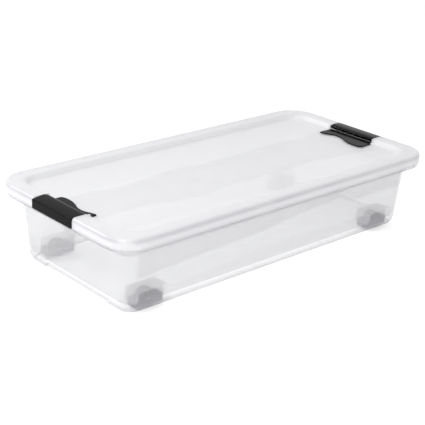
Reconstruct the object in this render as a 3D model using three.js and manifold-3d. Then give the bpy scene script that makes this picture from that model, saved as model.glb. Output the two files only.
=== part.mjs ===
// Long, low storage box for under a bed: clear tub on four rollers, recessed lid, two black clips.
// Millimetres. +X runs along the box, +Z is up, -Y is the front long side.
// The origin is on the ground, under the middle of the box.

import * as THREE from 'three';
import { ParametricGeometry } from 'three/addons/geometries/ParametricGeometry.js';
import { mergeVertices } from 'three/addons/utils/BufferGeometryUtils.js';
import Module from 'manifold-3d';

const wasm = await Module();
wasm.setup();

// ---------- driving dimensions ----------

// Lid outline and the height of its rim above the ground.
const LID_LENGTH = 795;
const LID_WIDTH = 395;
const LID_CORNER = 58;
const RIM_TOP = 161;

// Lid section, measured inwards from the outline.
const LID_WALL = 2.2;
const SKIRT_HEIGHT = 20;
const LID_EDGE = 0.6;
const SHOULDER = 7;
const RIM_PAST_MOUTH = 1;
const RIM_CORNER = 36;
const SLOPE_RUN = 14;
const RECESS = 11;
const PANEL_CORNER = 42;
const SLOPE_LEAN = 0.65;

// Tub: its flange, the collar under it, the sloping wall and the base.
const TUB_WALL = 2.5;
const FLANGE_CLEAR = 0.4;
const FLANGE_DROP = 23;
const MOUTH_ROUND = 2;
const WALL_INSET = 31;
const COLLAR_PROUD = 6.5;
const COLLAR_DROP = 16.5;
const COLLAR_STEP = 3;
const COLLAR_LEAN = 0.4;
const DRAFT_PER_MM = 0.075;
const BODY_CORNER = 27;
const BASE_CURVE_HEIGHT = 33;
const BASE_CURVE_RUN = 9.5;
const FOOT_CORNER = 23;
const FOOT_RIM_Z = 3;
const FOOT_RIM_WIDTH = 3.5;
const FOOT_RIM_LEAN = 1.5;
const FLOOR_RAISE = 8;
const FLOOR_THICK = 2.5;
const FLOOR_FILLET = 16;
const END_ARCH_LENGTH = 190;
const END_ARCH_STEP = 0.5;
const CORNER_STEPS = 8;

// Rollers in their carriers.
const WHEEL_R = 17;
const WHEEL_WIDTH = 18;
const WHEEL_INSET_X = 97;
const WHEEL_EDGE = 1.2;
const HUB_R = 6;
const WEB_THICK = 5;
const TREAD_DEPTH = 3;
const AXLE_R = 2.2;
const AXLE_EDGE = 0.5;
const AXLE_SHORT = 0.2;
const AXLE_CLEAR = 0.35;
const CARRIER_WALL = 2.6;
const CARRIER_END = 10;
const CARRIER_GAP = 0.6;
const WHEEL_SIDE_CLEAR = 1.1;
const WHEEL_TOP_CLEAR = 1.3;
const CARRIER_LIFT = 2;
const WELL_WALL = 2.5;

// Clips: a hollow bar that turns on two stub pins.
const CLIP_LENGTH = 119;
const CLIP_DEPTH = 35;
const CLIP_WALL = 2.8;
const CLIP_PROUD = 1.5;
const CLIP_RISE = 0.5;
const CLIP_SHIFT_Y = 6.5;
const CLIP_END_GAP = 1;
const CLIP_ROUND = 1.6;
const RIDGE_INSET = 10;
const RIDGE_OUTER_FALL = 3.4;
const RIDGE_INNER_FALL = 2.8;
const PIVOT_INSET = 3.5;
const PIVOT_DROP = 4.8;
const BARREL_R = 3.2;
const STUB_R = 2;
const STUB_LENGTH = 3.4;
const STUB_CLEAR = 0.35;
const BEAD_GAP = 0.4;
const BEAD_HEIGHT = 2.5;
const BEAD_RAMP = 1.5;
const BARREL_LIP = 0.5;
const CLIP_CAP_GAP = 1;

// Clip bay in the lid and the dropped part of the flange under it.
const BAY_WALL = 4;
const BAY_STEP = 0.15;
const BAY_EDGE = 0.5;
const BAY_LAP = 4;
const LUG_LENGTH = 3;
const NOTCH_GAP = 0.3;

// Wavy plates that lie on the panel beside the clips.
const PLATE_THICK = 2.2;
const PLATE_GAP = 0.3;
const PLATE_BACK_GAP = 2.3;
const PLATE_LEFT = { tip: 19, dip: 11.5, reach: 23, past: -10 };
const PLATE_RIGHT = { tip: 36, dip: 25, reach: 42, past: 4 };
const PLATE_SHORT = 4;
const PLATE_ROUND = 2;
const PLATE_CORNER = 8;
const PLATE_EDGE_GAP = 1.5;

// Gap between pieces that touch.
const SEAT_GAP = 0.3;

// ---------- sizes worked out from those ----------

const HALF_LENGTH = LID_LENGTH / 2;
const HALF_WIDTH = LID_WIDTH / 2;
const SKIRT_BOTTOM = RIM_TOP - SKIRT_HEIGHT;
const PANEL_TOP = RIM_TOP - RECESS;
const PANEL_UNDER = PANEL_TOP - LID_WALL;
const FLANGE_INSET = LID_WALL + FLANGE_CLEAR;
const FLANGE_TOP = RIM_TOP - LID_WALL - SEAT_GAP;
const FLANGE_BOTTOM = FLANGE_TOP - FLANGE_DROP;
const COLLAR_INSET = WALL_INSET - COLLAR_PROUD;
const COLLAR_BOTTOM = FLANGE_BOTTOM - COLLAR_DROP;
const RIM_WIDTH = COLLAR_INSET + TUB_WALL + RIM_PAST_MOUTH;
const PANEL_INSET = RIM_WIDTH + SLOPE_RUN;
const FLOOR_UNDER = FOOT_RIM_Z + FLOOR_RAISE;
const FLOOR_TOP = FLOOR_UNDER + FLOOR_THICK;
const BASE_CURVE_TOP = FOOT_RIM_Z + BASE_CURVE_HEIGHT;
const LOW_WALL_INSET = WALL_INSET + (COLLAR_BOTTOM - BASE_CURVE_TOP) * DRAFT_PER_MM;
const FOOT_INSET = LOW_WALL_INSET + BASE_CURVE_RUN;

const CARRIER_LENGTH = 2 * (WHEEL_R + CARRIER_END + CARRIER_WALL);
const CARRIER_WIDTH = WHEEL_WIDTH + 2 * (WHEEL_SIDE_CLEAR + CARRIER_WALL);
const CARRIER_CEILING = 2 * WHEEL_R + WHEEL_TOP_CLEAR;
const CARRIER_TOP = CARRIER_CEILING + CARRIER_WALL;
const CARRIER_BOTTOM = FOOT_RIM_Z + CARRIER_LIFT;
const WELL_LENGTH = CARRIER_LENGTH + 2 * CARRIER_GAP;
const WELL_WIDTH = CARRIER_WIDTH + 2 * CARRIER_GAP;
const WELL_TOP = CARRIER_TOP + SEAT_GAP;
const WHEEL_X = HALF_LENGTH - WHEEL_INSET_X;
const WHEEL_Y = HALF_WIDTH - FOOT_INSET - FOOT_RIM_WIDTH - WELL_WIDTH / 2;

const CLIP_OUTER_X = HALF_LENGTH + CLIP_PROUD;
const CLIP_INNER_X = CLIP_OUTER_X - CLIP_DEPTH;
const CLIP_TOP = RIM_TOP + CLIP_RISE;
const RIDGE_X = CLIP_INNER_X + RIDGE_INSET;
const PIVOT_X = CLIP_INNER_X + PIVOT_INSET;
const PIVOT_Z = RIM_TOP - PIVOT_DROP;
const BAY_HALF = CLIP_LENGTH / 2 + CLIP_END_GAP;
const BAY_OUTER_X = HALF_LENGTH - FLANGE_INSET;
const BAY_INNER_X = HALF_LENGTH - PANEL_INSET + BAY_EDGE;
const NOTCH_HALF = BAY_HALF + BAY_WALL + NOTCH_GAP;
const NOTCH_FLOOR = PANEL_UNDER - SEAT_GAP;

// ---------- solids ----------

const quarter = Math.PI / 2;

function solid(geometry) {
  const plain = geometry.clone();
  plain.deleteAttribute('normal');
  plain.deleteAttribute('uv');
  const merged = mergeVertices(plain, 1e-4);
  const vertProperties = Float32Array.from(merged.attributes.position.array);
  const triVerts = Uint32Array.from(merged.index.array);
  return new wasm.Manifold(new wasm.Mesh({ numProp: 3, vertProperties, triVerts }));
}

function geometryOf(manifold) {
  const mesh = manifold.getMesh();
  const geometry = new THREE.BufferGeometry();
  geometry.setAttribute('position', new THREE.BufferAttribute(mesh.vertProperties, 3));
  geometry.setIndex(new THREE.BufferAttribute(mesh.triVerts, 1));
  geometry.computeVertexNormals();
  return geometry;
}

// A block between two corners.
function block(x0, x1, y0, y1, z0, z1) {
  const box = new THREE.BoxGeometry(x1 - x0, y1 - y0, z1 - z0);
  box.translate((x0 + x1) / 2, (y0 + y1) / 2, (z0 + z1) / 2);
  return box;
}

// A rod along Y, centred at (x, y, z).
function rod(radius, length, x, y, z, sides = 20) {
  const cylinder = new THREE.CylinderGeometry(radius, radius, length, sides);
  cylinder.translate(x, y, z);
  return cylinder;
}

// An outline in X and Z, swept along Y from y0 to y1.
function sweptAlongY(shape, y0, y1, curveSegments = 6) {
  const swept = new THREE.ExtrudeGeometry(shape, {
    depth: y1 - y0,
    bevelEnabled: false,
    curveSegments,
  });
  swept.rotateX(quarter);
  swept.translate(0, y1, 0);
  return swept;
}

// Points of a rounded rectangle that lies inset from the lid's outline, from its -Y side round.
function outlinePoint(u, inset, radius, target) {
  const halfX = HALF_LENGTH - inset;
  const halfY = HALF_WIDTH - inset;
  const perCorner = CORNER_STEPS + 1;
  const index = Math.round(u * 4 * perCorner) % (4 * perCorner);
  const corner = Math.floor(index / perCorner);
  const angle = -quarter + (corner + (index % perCorner) / CORNER_STEPS) * quarter;
  const signX = corner < 2 ? 1 : -1;
  const signY = corner === 1 || corner === 2 ? 1 : -1;
  target.x = signX * (halfX - radius) + radius * Math.cos(angle);
  target.y = signY * (halfY - radius) + radius * Math.sin(angle);
}

// A section that runs round the box. Each ring is [inset, height, corner radius].
// The first and last rings are given by their height alone and close at the middle.
function ringed(firstZ, rings, lastZ) {
  const stacks = rings.length + 1;
  const place = (u, v, target) => {
    const row = Math.round(v * stacks);
    target.set(0, 0, row === 0 ? firstZ : lastZ);
    if (row > 0 && row < stacks) {
      const [inset, height, radius] = rings[row - 1];
      outlinePoint(u, inset, radius, target);
      target.z = height;
    }
  };
  return new ParametricGeometry(place, 4 * (CORNER_STEPS + 1), stacks);
}

// Rings along a quarter curve from one place to another; hollow gives the other bend.
function quarterCurve(from, to, steps, hollow) {
  const rings = [];
  for (let i = 0; i <= steps; i += 1) {
    const angle = (quarter * i) / steps;
    const across = hollow ? 1 - Math.cos(angle) : Math.sin(angle);
    const along = hollow ? Math.sin(angle) : 1 - Math.cos(angle);
    rings.push([
      from[0] + (to[0] - from[0]) * across,
      from[1] + (to[1] - from[1]) * along,
      from[2] + (to[2] - from[2]) * across,
    ]);
  }
  return rings;
}

// ---------- tub ----------

function tubSection() {
  const flangeR = LID_CORNER - FLANGE_INSET;
  const lipInset = FLANGE_INSET + TUB_WALL;
  const collarR = LID_CORNER - COLLAR_INSET;
  const innerR = BODY_CORNER - TUB_WALL;
  const innerWall = WALL_INSET + TUB_WALL;
  const innerLow = LOW_WALL_INSET + TUB_WALL;
  const collarIn = COLLAR_INSET + TUB_WALL;
  const round = SHOULDER - FLANGE_INSET;
  const footInner = FOOT_INSET + FOOT_RIM_WIDTH;
  const footInnerR = FOOT_CORNER - FOOT_RIM_WIDTH;
  return [
    [footInner + FOOT_RIM_LEAN, FLOOR_UNDER, footInnerR - FOOT_RIM_LEAN],
    [footInner, FOOT_RIM_Z, footInnerR],
    ...quarterCurve(
      [FOOT_INSET, FOOT_RIM_Z, FOOT_CORNER],
      [LOW_WALL_INSET, BASE_CURVE_TOP, BODY_CORNER],
      5,
      false,
    ),
    [WALL_INSET, COLLAR_BOTTOM, BODY_CORNER],
    [COLLAR_INSET + COLLAR_LEAN, COLLAR_BOTTOM + COLLAR_STEP, collarR],
    [COLLAR_INSET, FLANGE_TOP - TUB_WALL, collarR],
    [lipInset, FLANGE_TOP - TUB_WALL, LID_CORNER - lipInset],
    [lipInset, FLANGE_BOTTOM, LID_CORNER - lipInset],
    [FLANGE_INSET, FLANGE_BOTTOM, flangeR],
    ...quarterCurve(
      [FLANGE_INSET, FLANGE_TOP - round, flangeR],
      [FLANGE_INSET + round, FLANGE_TOP, flangeR - round],
      4,
      true,
    ),
    ...quarterCurve(
      [collarIn - MOUTH_ROUND, FLANGE_TOP, collarR],
      [collarIn, FLANGE_TOP - MOUTH_ROUND, collarR - TUB_WALL],
      2,
      false,
    ),
    [collarIn + COLLAR_LEAN, COLLAR_BOTTOM + COLLAR_STEP + 1, collarR - TUB_WALL],
    [innerWall, COLLAR_BOTTOM + 1, innerR],
    ...quarterCurve(
      [innerLow, BASE_CURVE_TOP, innerR],
      [innerLow + FLOOR_FILLET, FLOOR_TOP, innerR - FLOOR_FILLET / 8],
      5,
      true,
    ),
  ];
}

function wheelPlaces() {
  const places = [];
  for (const [endName, signX] of [['left', -1], ['right', 1]]) {
    for (const [sideName, signY] of [['front', -1], ['back', 1]]) {
      places.push({ name: `${sideName}_${endName}`, signX, signY });
    }
  }
  return places;
}

// A block given for the +X, +Y quarter and moved to the quarter that the signs name.
function quarterBlock(place, x0, x1, y0, y1, z0, z1) {
  const xs = [place.signX * x0, place.signX * x1].sort((a, b) => a - b);
  const ys = [place.signY * y0, place.signY * y1].sort((a, b) => a - b);
  return solid(block(xs[0], xs[1], ys[0], ys[1], z0, z1));
}

function withWells(shell) {
  const halfL = WELL_LENGTH / 2;
  const halfW = WELL_WIDTH / 2;
  const toWall = HALF_WIDTH - LOW_WALL_INSET - TUB_WALL / 2;
  let made = shell;
  for (const place of wheelPlaces()) {
    const housing = quarterBlock(
      place,
      WHEEL_X - halfL - WELL_WALL,
      WHEEL_X + halfL + WELL_WALL,
      WHEEL_Y - halfW - WELL_WALL,
      toWall,
      FLOOR_UNDER + FLOOR_THICK / 2,
      WELL_TOP + WELL_WALL,
    );
    const hollow = quarterBlock(
      place,
      WHEEL_X - halfL,
      WHEEL_X + halfL,
      WHEEL_Y - halfW,
      WHEEL_Y + halfW,
      FOOT_RIM_Z - 1,
      WELL_TOP,
    );
    made = made.add(housing).subtract(hollow);
  }
  return made;
}

function clipEnds() {
  return [{ name: 'left', sign: -1 }, { name: 'right', sign: 1 }];
}

// A block given for the +X end, turned half round for the -X end.
function endBlock(end, x0, x1, y0, y1, z0, z1) {
  const made = block(x0, x1, y0, y1, z0, z1);
  if (end.sign < 0) {
    made.rotateZ(Math.PI);
  }
  return solid(made);
}

function makeTub() {
  let tub = solid(ringed(FLOOR_UNDER, tubSection(), FLOOR_TOP));
  tub = withWells(tub);
  const outerX = HALF_LENGTH - FLANGE_INSET;
  const collarX = HALF_LENGTH - COLLAR_INSET;
  const archTop = FLOOR_UNDER - END_ARCH_STEP;
  const archIn = HALF_LENGTH - FOOT_INSET - 2 * FOOT_RIM_WIDTH - FOOT_RIM_LEAN;
  const mouthX = collarX - TUB_WALL - 2 * MOUTH_ROUND;
  const centre = -CLIP_SHIFT_Y;
  for (const end of clipEnds()) {
    const low = centre - NOTCH_HALF;
    const high = centre + NOTCH_HALF;
    const ledgeIn = collarX - TUB_WALL / 2;
    const ledgeOut = outerX - TUB_WALL / 2;
    const under = NOTCH_FLOOR - TUB_WALL;
    const wall = TUB_WALL;
    const lifted = FLANGE_TOP - TUB_WALL / 2;
    const ledge = endBlock(end, ledgeIn, ledgeOut, low - wall, high + wall, under, lifted);
    const notch = endBlock(end, mouthX, outerX + 1, low, high, NOTCH_FLOOR, RIM_TOP);
    const half = END_ARCH_LENGTH / 2;
    const arch = endBlock(end, archIn, outerX, -half, half, 0, archTop);
    tub = tub.add(ledge).subtract(notch).subtract(arch);
  }
  return tub;
}

// ---------- lid ----------

function lidSection() {
  const midInset = RIM_WIDTH + SLOPE_RUN / 2;
  const midZ = RIM_TOP - RECESS / 2;
  const midR = (RIM_CORNER + PANEL_CORNER) / 2;
  const underTop = RIM_TOP - LID_WALL;
  const slopeShift = LID_WALL * SLOPE_LEAN;
  const slopeDrop = LID_WALL * Math.sqrt(1 - SLOPE_LEAN * SLOPE_LEAN);
  return [
    ...quarterCurve([PANEL_INSET, PANEL_TOP, PANEL_CORNER], [midInset, midZ, midR], 3, false),
    ...quarterCurve([midInset, midZ, midR], [RIM_WIDTH, RIM_TOP, RIM_CORNER], 3, true).slice(1),
    ...quarterCurve(
      [SHOULDER, RIM_TOP, LID_CORNER - SHOULDER],
      [0, RIM_TOP - SHOULDER, LID_CORNER],
      5,
      false,
    ),
    [0, SKIRT_BOTTOM + LID_EDGE, LID_CORNER],
    [LID_EDGE, SKIRT_BOTTOM, LID_CORNER - LID_EDGE],
    [LID_WALL, SKIRT_BOTTOM, LID_CORNER - LID_WALL],
    ...quarterCurve(
      [LID_WALL, RIM_TOP - SHOULDER, LID_CORNER - LID_WALL],
      [SHOULDER, underTop, LID_CORNER - SHOULDER],
      3,
      true,
    ),
    [RIM_WIDTH - slopeShift, underTop, RIM_CORNER],
    [midInset - slopeShift, midZ - slopeDrop, midR],
    [PANEL_INSET - slopeShift, PANEL_UNDER, PANEL_CORNER],
  ];
}

function makeLid() {
  let lid = solid(ringed(PANEL_UNDER, lidSection().reverse(), PANEL_TOP));
  const centre = -CLIP_SHIFT_Y;
  const wallOut = HALF_LENGTH - SHOULDER;
  const lugIn = PIVOT_X - BARREL_R - LUG_LENGTH;
  const lugTop = RIM_TOP - LID_WALL / 2;
  const stubRoom = BAY_HALF + STUB_LENGTH - CLIP_END_GAP + STUB_CLEAR;
  const floorLow = PANEL_UNDER + BAY_STEP;
  const floorHigh = PANEL_TOP - BAY_STEP;
  for (const end of clipEnds()) {
    const low = centre - BAY_HALF;
    const high = centre + BAY_HALF;
    const outLow = low - BAY_WALL;
    const outHigh = high + BAY_WALL;
    const flat = endBlock(
      end, BAY_INNER_X - BAY_LAP, BAY_OUTER_X, outLow, outHigh, floorLow, floorHigh,
    );
    const walls = endBlock(end, lugIn, wallOut, outLow, outHigh, floorLow + BAY_STEP, lugTop);
    const bay = endBlock(
      end, BAY_INNER_X, HALF_LENGTH + 1, low, high, PANEL_TOP + BAY_STEP, RIM_TOP + 1,
    );
    const mouth = endBlock(
      end, BAY_OUTER_X, HALF_LENGTH + 1, low, high, SKIRT_BOTTOM - 1, RIM_TOP + 1,
    );
    const socket = rod(STUB_R + STUB_CLEAR, 2 * stubRoom, PIVOT_X, centre, PIVOT_Z);
    if (end.sign < 0) {
      socket.rotateZ(Math.PI);
    }
    lid = lid.add(flat).add(walls).subtract(bay).subtract(mouth).subtract(solid(socket));
  }
  return lid;
}

// ---------- clips and plates ----------

// Height of a clip's top: a low ridge that falls to the bar's outer edge and to its hinge edge.
function clipTop(x) {
  if (x > RIDGE_X) {
    return CLIP_TOP - (RIDGE_OUTER_FALL * (x - RIDGE_X)) / (CLIP_OUTER_X - RIDGE_X);
  }
  return CLIP_TOP - (RIDGE_INNER_FALL * (RIDGE_X - x)) / RIDGE_INSET;
}

// The outside of a clip's section, from its outer lower edge over the top to its inner lower edge.
function closeClipOutside(shape, lowIn) {
  const outerStart = CLIP_OUTER_X - CLIP_ROUND;
  const innerEnd = CLIP_INNER_X + CLIP_ROUND;
  shape.lineTo(CLIP_OUTER_X, SKIRT_BOTTOM);
  shape.lineTo(CLIP_OUTER_X, clipTop(CLIP_OUTER_X) - CLIP_ROUND);
  shape.quadraticCurveTo(
    CLIP_OUTER_X, clipTop(CLIP_OUTER_X), outerStart, clipTop(outerStart),
  );
  shape.lineTo(RIDGE_X, CLIP_TOP);
  shape.lineTo(innerEnd, clipTop(innerEnd));
  shape.quadraticCurveTo(
    CLIP_INNER_X, clipTop(CLIP_INNER_X), CLIP_INNER_X, clipTop(CLIP_INNER_X) - CLIP_ROUND,
  );
  shape.lineTo(CLIP_INNER_X, lowIn);
}

// Section of the hollow bar in X and Z, seen from the front, for the +X end.
function clipShape() {
  const shape = new THREE.Shape();
  const thick = CLIP_WALL;
  const outerIn = CLIP_OUTER_X - thick;
  const hingeIn = CLIP_INNER_X + thick;
  const beadX = HALF_LENGTH - FLANGE_INSET + BEAD_GAP;
  const lowIn = PIVOT_Z - BARREL_R + BARREL_LIP;
  shape.moveTo(CLIP_INNER_X, lowIn);
  shape.lineTo(hingeIn, lowIn);
  shape.lineTo(hingeIn, clipTop(hingeIn) - thick);
  shape.lineTo(RIDGE_X, CLIP_TOP - thick);
  shape.lineTo(outerIn, clipTop(outerIn) - thick);
  shape.lineTo(outerIn, SKIRT_BOTTOM + BEAD_HEIGHT + BEAD_RAMP);
  shape.lineTo(beadX, SKIRT_BOTTOM + BEAD_HEIGHT);
  shape.lineTo(outerIn, SKIRT_BOTTOM);
  closeClipOutside(shape, lowIn);
  return shape;
}

// The filled outline that closes each end of the bar, clear of the flange below it.
function clipEndShape() {
  const shape = new THREE.Shape();
  const under = PANEL_TOP + CLIP_CAP_GAP;
  const outerIn = CLIP_OUTER_X - CLIP_WALL;
  const lowIn = PIVOT_Z - BARREL_R + BARREL_LIP;
  shape.moveTo(CLIP_INNER_X, lowIn);
  shape.lineTo(PIVOT_X, lowIn);
  shape.lineTo(PIVOT_X + BARREL_R, under);
  shape.lineTo(outerIn, under);
  shape.lineTo(outerIn, SKIRT_BOTTOM);
  closeClipOutside(shape, lowIn);
  return shape;
}

function makeClip(end) {
  const centre = -CLIP_SHIFT_Y;
  const low = centre - CLIP_LENGTH / 2;
  const high = centre + CLIP_LENGTH / 2;
  const cap = CLIP_WALL;
  const pieces = [
    sweptAlongY(clipEndShape(), low, low + cap),
    sweptAlongY(clipEndShape(), high - cap, high),
    rod(BARREL_R, CLIP_LENGTH, PIVOT_X, centre, PIVOT_Z, 24),
    rod(STUB_R, CLIP_LENGTH + 2 * STUB_LENGTH, PIVOT_X, centre, PIVOT_Z, 20),
  ];
  let clip = solid(sweptAlongY(clipShape(), low, high));
  for (const piece of pieces) {
    clip = clip.add(solid(piece));
  }
  const made = geometryOf(clip);
  if (end.sign < 0) {
    made.rotateZ(Math.PI);
  }
  return made;
}

// Outline of a plate in X and Y for the +X end: its inner edge waves once along the clip.
function plateShape({ tip: tipReach, dip: dipReach, reach, past }) {
  const shape = new THREE.Shape();
  const backEdge = PIVOT_X - BARREL_R - PLATE_BACK_GAP;
  const centre = -CLIP_SHIFT_Y;
  const high = centre + BAY_HALF - PLATE_SHORT;
  const low = centre - BAY_HALF - past;
  const clear = Math.max(low, centre - BAY_HALF + PLATE_SHORT / 2);
  const panelEdge = Math.min(HALF_LENGTH - PANEL_INSET - PLATE_EDGE_GAP, backEdge);
  const tip = backEdge - tipReach;
  const dip = backEdge - dipReach;
  const hump = backEdge - reach;
  const along = (share) => high - share * (high - low);
  shape.moveTo(backEdge, clear);
  shape.lineTo(backEdge, high);
  shape.lineTo(tip + PLATE_ROUND, high);
  shape.quadraticCurveTo(tip - PLATE_ROUND, high, tip - PLATE_ROUND / 2, along(0.04));
  shape.bezierCurveTo(tip + PLATE_ROUND, along(0.18), dip, along(0.19), dip, along(0.34));
  shape.bezierCurveTo(dip, along(0.53), hump, along(0.56), hump, along(0.82));
  shape.bezierCurveTo(hump, along(0.94), hump + PLATE_ROUND, low, hump + PLATE_CORNER, low);
  if (low < clear) {
    shape.lineTo(panelEdge, low);
    shape.lineTo(panelEdge, clear);
  }
  shape.lineTo(backEdge, clear);
  return shape;
}

function makePlate(end) {
  const sizes = end.sign < 0 ? PLATE_LEFT : PLATE_RIGHT;
  const plate = new THREE.ExtrudeGeometry(plateShape(sizes), {
    depth: PLATE_THICK,
    bevelEnabled: false,
    curveSegments: 8,
  });
  plate.translate(0, 0, PANEL_TOP + PLATE_GAP);
  if (end.sign < 0) {
    plate.rotateZ(Math.PI);
  }
  return plate;
}

// ---------- rollers ----------

function makeWheel() {
  const half = WHEEL_WIDTH / 2;
  const web = WEB_THICK / 2;
  const bore = AXLE_R + AXLE_CLEAR;
  const treadIn = WHEEL_R - TREAD_DEPTH;
  const edge = WHEEL_EDGE;
  const profile = [
    [bore, -half], [HUB_R, -half], [HUB_R, -web], [treadIn, -web], [treadIn, -half],
    [WHEEL_R - edge, -half], [WHEEL_R, -half + edge], [WHEEL_R, half - edge],
    [WHEEL_R - edge, half], [treadIn, half], [treadIn, web], [HUB_R, web], [HUB_R, half],
    [bore, half], [bore, -half],
  ];
  return new THREE.LatheGeometry(profile.map(([r, y]) => new THREE.Vector2(r, y)), 28);
}

function makeCarrier() {
  const halfL = CARRIER_LENGTH / 2;
  const halfW = CARRIER_WIDTH / 2;
  const wall = CARRIER_WALL;
  const outer = block(-halfL, halfL, -halfW, halfW, CARRIER_BOTTOM, CARRIER_TOP);
  const inner = block(
    -halfL + wall, halfL - wall, -halfW + wall, halfW - wall, CARRIER_BOTTOM - 1, CARRIER_CEILING,
  );
  const bore = rod(AXLE_R + AXLE_CLEAR, CARRIER_WIDTH + 2, 0, 0, WHEEL_R);
  return geometryOf(solid(outer).subtract(solid(inner)).subtract(solid(bore)));
}

function makeAxle() {
  const chamfer = AXLE_EDGE;
  const half = CARRIER_WIDTH / 2 - AXLE_SHORT;
  const profile = [
    [0, -half], [AXLE_R - chamfer, -half], [AXLE_R, -half + chamfer],
    [AXLE_R, half - chamfer], [AXLE_R - chamfer, half], [0, half],
  ];
  return new THREE.LatheGeometry(profile.map(([r, y]) => new THREE.Vector2(r, y)), 20);
}

// ---------- assembly ----------

function material(color, roughness, metalness, opacity = 1) {
  return new THREE.MeshStandardMaterial({
    color,
    roughness,
    metalness,
    opacity,
    transparent: opacity < 1,
  });
}

const clearPlastic = () => material(0xe9eaf0, 0.25, 0, 0.55);
const milkyPlastic = () => material(0xf1f2f5, 0.35, 0, 0.8);
const blackPlastic = () => material(0x141416, 0.3, 0);
const greyPlastic = () => material(0x54545c, 0.5, 0);
const rollerPlastic = () => material(0x26262c, 0.45, 0);
const steel = () => material(0xb8b8bc, 0.3, 1);

const box = new THREE.Group();

function put(name, geometry, finish, x = 0, y = 0, z = 0) {
  const mesh = new THREE.Mesh(geometry, finish);
  mesh.name = name;
  mesh.position.set(x, y, z);
  box.add(mesh);
}

put('tub', geometryOf(makeTub()), clearPlastic());
put('lid', geometryOf(makeLid()), milkyPlastic());
for (const end of clipEnds()) {
  put(`clip_${end.name}`, makeClip(end), blackPlastic());
  put(`clip_plate_${end.name}`, makePlate(end), blackPlastic());
}
for (const place of wheelPlaces()) {
  const x = place.signX * WHEEL_X;
  const y = place.signY * WHEEL_Y;
  put(`wheel_${place.name}`, makeWheel(), rollerPlastic(), x, y, WHEEL_R);
  put(`wheel_carrier_${place.name}`, makeCarrier(), greyPlastic(), x, y, 0);
  put(`axle_pin_${place.name}`, makeAxle(), steel(), x, y, WHEEL_R);
}

export default box;
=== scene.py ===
"""Long box for under a bed: clear tub on four rollers, milky recessed lid and two black clips."""

import math

import bmesh
import bpy
import numpy as np
from bpy.props import FloatProperty, FloatVectorProperty, IntProperty, PointerProperty
from mathutils import Matrix, Vector


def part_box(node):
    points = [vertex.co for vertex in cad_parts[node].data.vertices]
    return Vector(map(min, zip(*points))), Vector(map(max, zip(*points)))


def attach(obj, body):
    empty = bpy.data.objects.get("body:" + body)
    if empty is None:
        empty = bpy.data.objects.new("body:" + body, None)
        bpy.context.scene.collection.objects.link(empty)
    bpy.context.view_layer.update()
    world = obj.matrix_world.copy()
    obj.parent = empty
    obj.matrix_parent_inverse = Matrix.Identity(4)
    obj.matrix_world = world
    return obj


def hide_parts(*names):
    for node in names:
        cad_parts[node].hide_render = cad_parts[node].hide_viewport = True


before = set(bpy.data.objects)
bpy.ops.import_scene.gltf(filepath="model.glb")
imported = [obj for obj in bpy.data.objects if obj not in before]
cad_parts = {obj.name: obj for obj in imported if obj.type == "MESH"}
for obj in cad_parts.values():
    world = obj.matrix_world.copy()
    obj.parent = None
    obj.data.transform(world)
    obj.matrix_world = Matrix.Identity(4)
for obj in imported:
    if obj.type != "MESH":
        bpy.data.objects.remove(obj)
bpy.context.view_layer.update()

bl_info = {
    "name": "Under bed box",
    "version": (1, 0, 0),
    "blender": (4, 5, 0),
    "location": "3D View > Sidebar > Box",
    "description": "Makes a long storage box with a recessed lid, two clips and four rollers",
    "category": "Object",
}

MM = 0.001
SIDES = ("front", "back")
ENDS = ("left", "right")
WHEEL_NAMES = [f"{side}_{end}" for end in ENDS for side in SIDES]

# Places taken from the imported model, in millimetres.


def box_mm(node):
    """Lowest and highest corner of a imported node, in millimetres."""
    low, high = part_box(node)
    return np.array(low) / MM, np.array(high) / MM


LID_LOW, LID_HIGH = box_mm("lid")
TUB_LOW, TUB_HIGH = box_mm("tub")
HALF_LENGTH = float(LID_HIGH[0])
HALF_WIDTH = float(LID_HIGH[1])
RIM_TOP = float(LID_HIGH[2])
SKIRT_BOTTOM = float(LID_LOW[2])
FOOT_Z = float(TUB_LOW[2])
FLANGE_TOP = float(TUB_HIGH[2])
FLANGE_INSET = HALF_LENGTH - float(TUB_HIGH[0])

# Lid section, inwards from the outline, in millimetres.
LID_CORNER = 58.0
SHOULDER = 7.0
RIM_WIDTH = 28.0
RIM_CORNER = 36.0
SLOPE_RUN = 14.0
SLOPE_LEAN = 0.65
PANEL_CORNER = 42.0
PANEL_INSET = RIM_WIDTH + SLOPE_RUN
EDGE_ROUND = 0.6
# Half width of the painted shade lines along the lid skirt's and the tub lip's lower edges.
EDGE_SHADE_HALF = 1.6

# Tub section, in millimetres.
FLANGE_DROP = 23.0
MOUTH_ROUND = 2.0
WALL_INSET = 31.0
COLLAR_INSET = 24.5
COLLAR_DROP = 16.5
COLLAR_STEP = 3.0
BODY_CORNER = 27.0
DRAFT = 0.075
BASE_CURVE_HEIGHT = 33.0
BASE_CURVE_RUN = 9.5
FOOT_CORNER = 23.0
FOOT_RIM_WIDTH = 3.5
FOOT_RIM_LEAN = 1.5
FLOOR_RAISE = 8.0
FLOOR_FILLET = 16.0
ARCH_HALF = 95.0
SIDE_START = 140.0
SIDE_FULL = 150.0
BAND_START = 8.0
BAND_FULL = 22.0
LOWER_BAND_DEPTH = 0.6
FLANGE_BOTTOM = FLANGE_TOP - FLANGE_DROP
COLLAR_BOTTOM = FLANGE_BOTTOM - COLLAR_DROP
BASE_CURVE_TOP = FOOT_Z + BASE_CURVE_HEIGHT
LOW_INSET = WALL_INSET + (COLLAR_BOTTOM - BASE_CURVE_TOP) * DRAFT
FOOT_INSET = LOW_INSET + BASE_CURVE_RUN
FLOOR_UNDER = FOOT_Z + FLOOR_RAISE

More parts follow.
